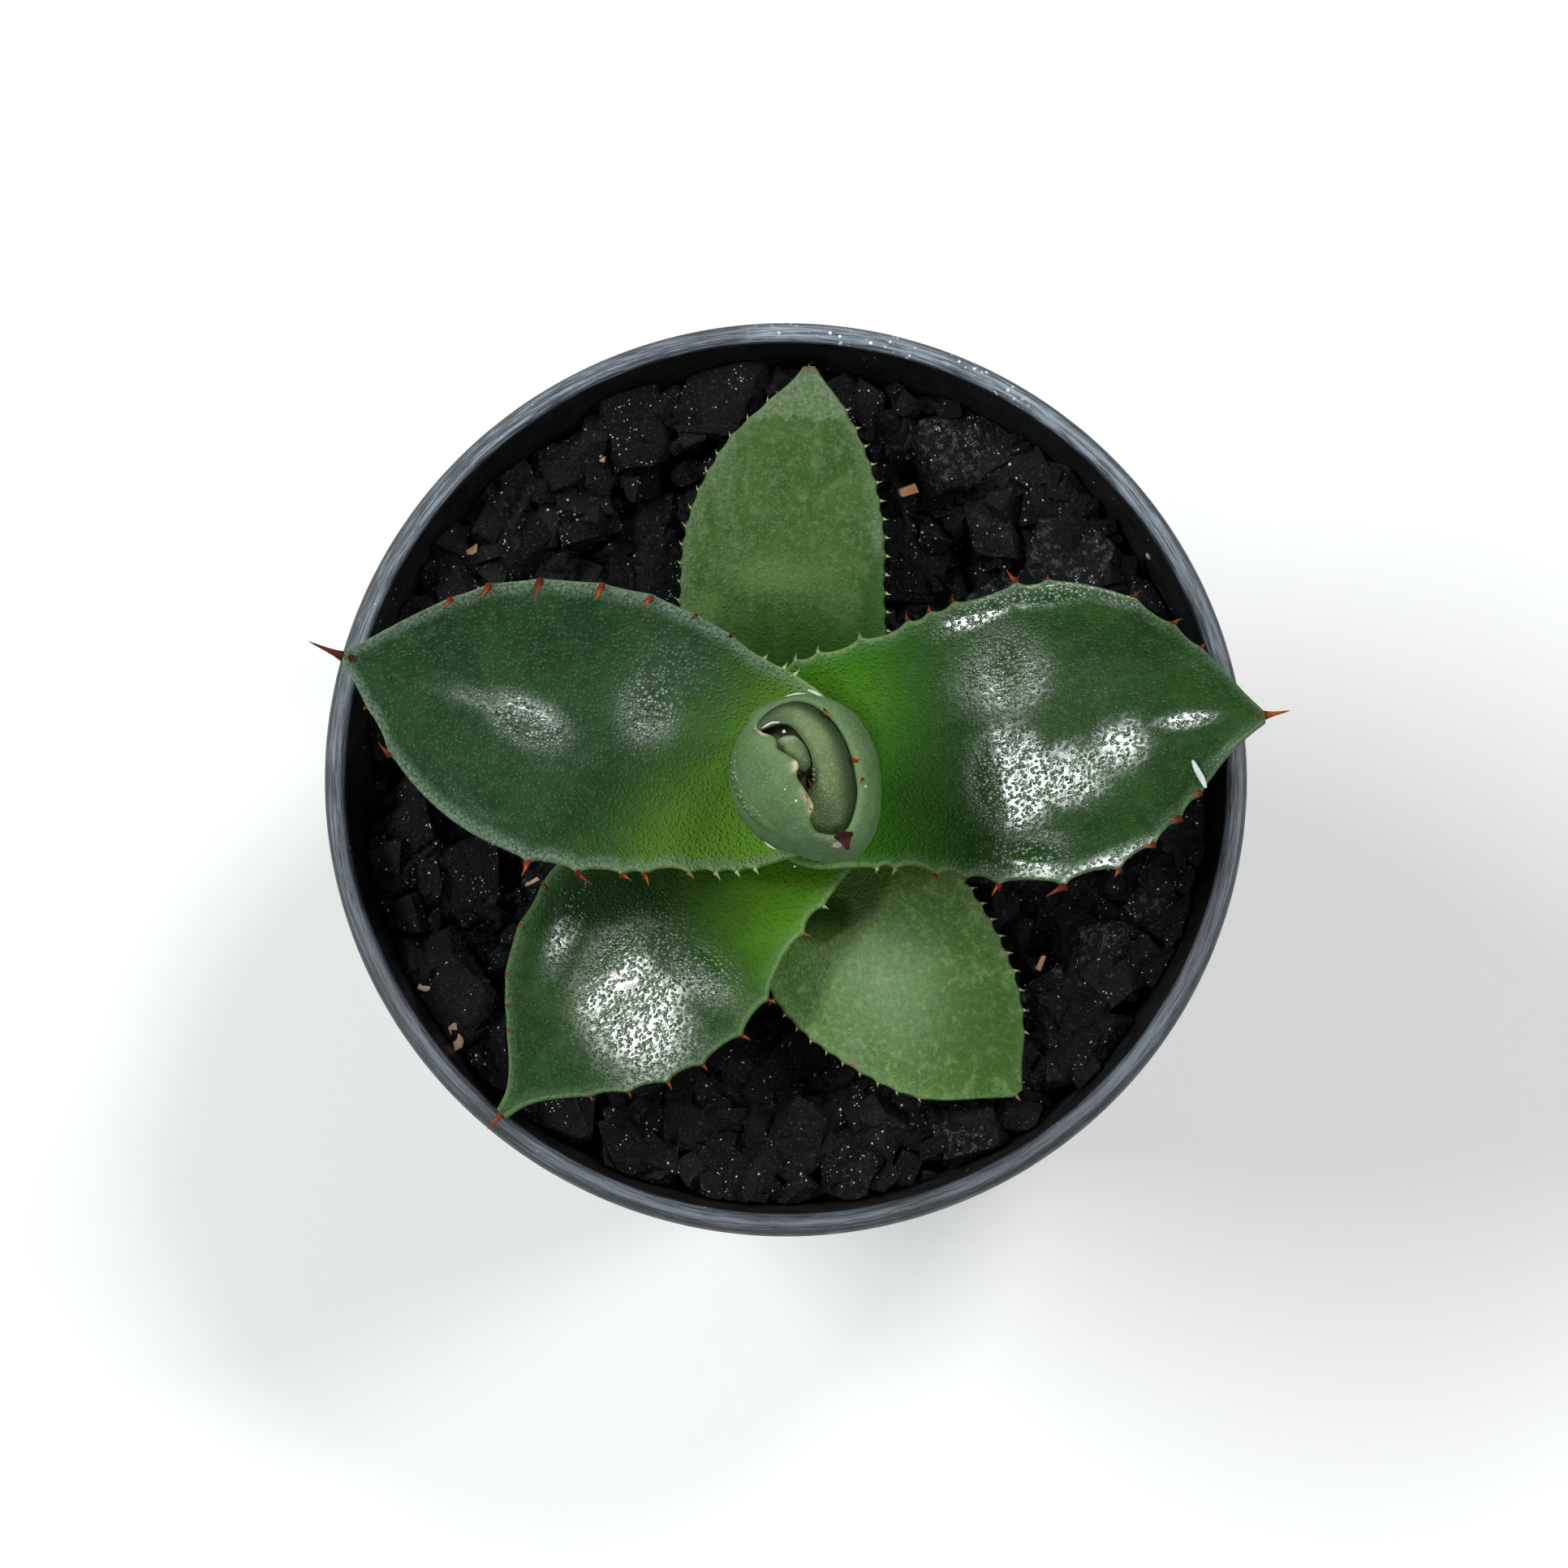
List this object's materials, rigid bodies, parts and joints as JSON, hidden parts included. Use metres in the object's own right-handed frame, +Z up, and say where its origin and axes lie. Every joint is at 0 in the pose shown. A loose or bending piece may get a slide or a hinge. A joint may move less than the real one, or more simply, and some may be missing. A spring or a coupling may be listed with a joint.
{
  "type": "potted artichoke agave",
  "caption": "Young agave rosette with toothed, spine-tipped leaves and a rolled bud, in a round pot topped with black chips.",
  "frame": {"origin": "middle of the flat underside of the pot, on the surface that it stands on", "axes": "+Z up along the pot's axis; +X towards the right-hand leaf, +Y towards the back leaf"},
  "size_m": [0.1023, 0.1, 0.1212],
  "materials": {
    "pot_plastic": "satin",
    "mix": "matte",
    "charcoal": "satin",
    "stem_tissue": "satin",
    "blue_leaf": "satin",
    "wet_leaf": "gloss",
    "matte_leaf": "matte",
    "bud_leaf": "satin"
  },
  "bodies": {
    "root": {"pot": "pot_plastic", "potting_mix": "mix", "charcoal_chips": "charcoal", "stem": "stem_tissue", "leaf_left": "blue_leaf", "leaf_right": "wet_leaf", "leaf_back": "matte_leaf", "leaf_front_left": "wet_leaf", "leaf_front_right": "matte_leaf", "bud_outer_leaf": "bud_leaf", "bud_inner_leaf": "bud_leaf", "bud_heart_leaf": "bud_leaf"}
  },
  "joints": []
}
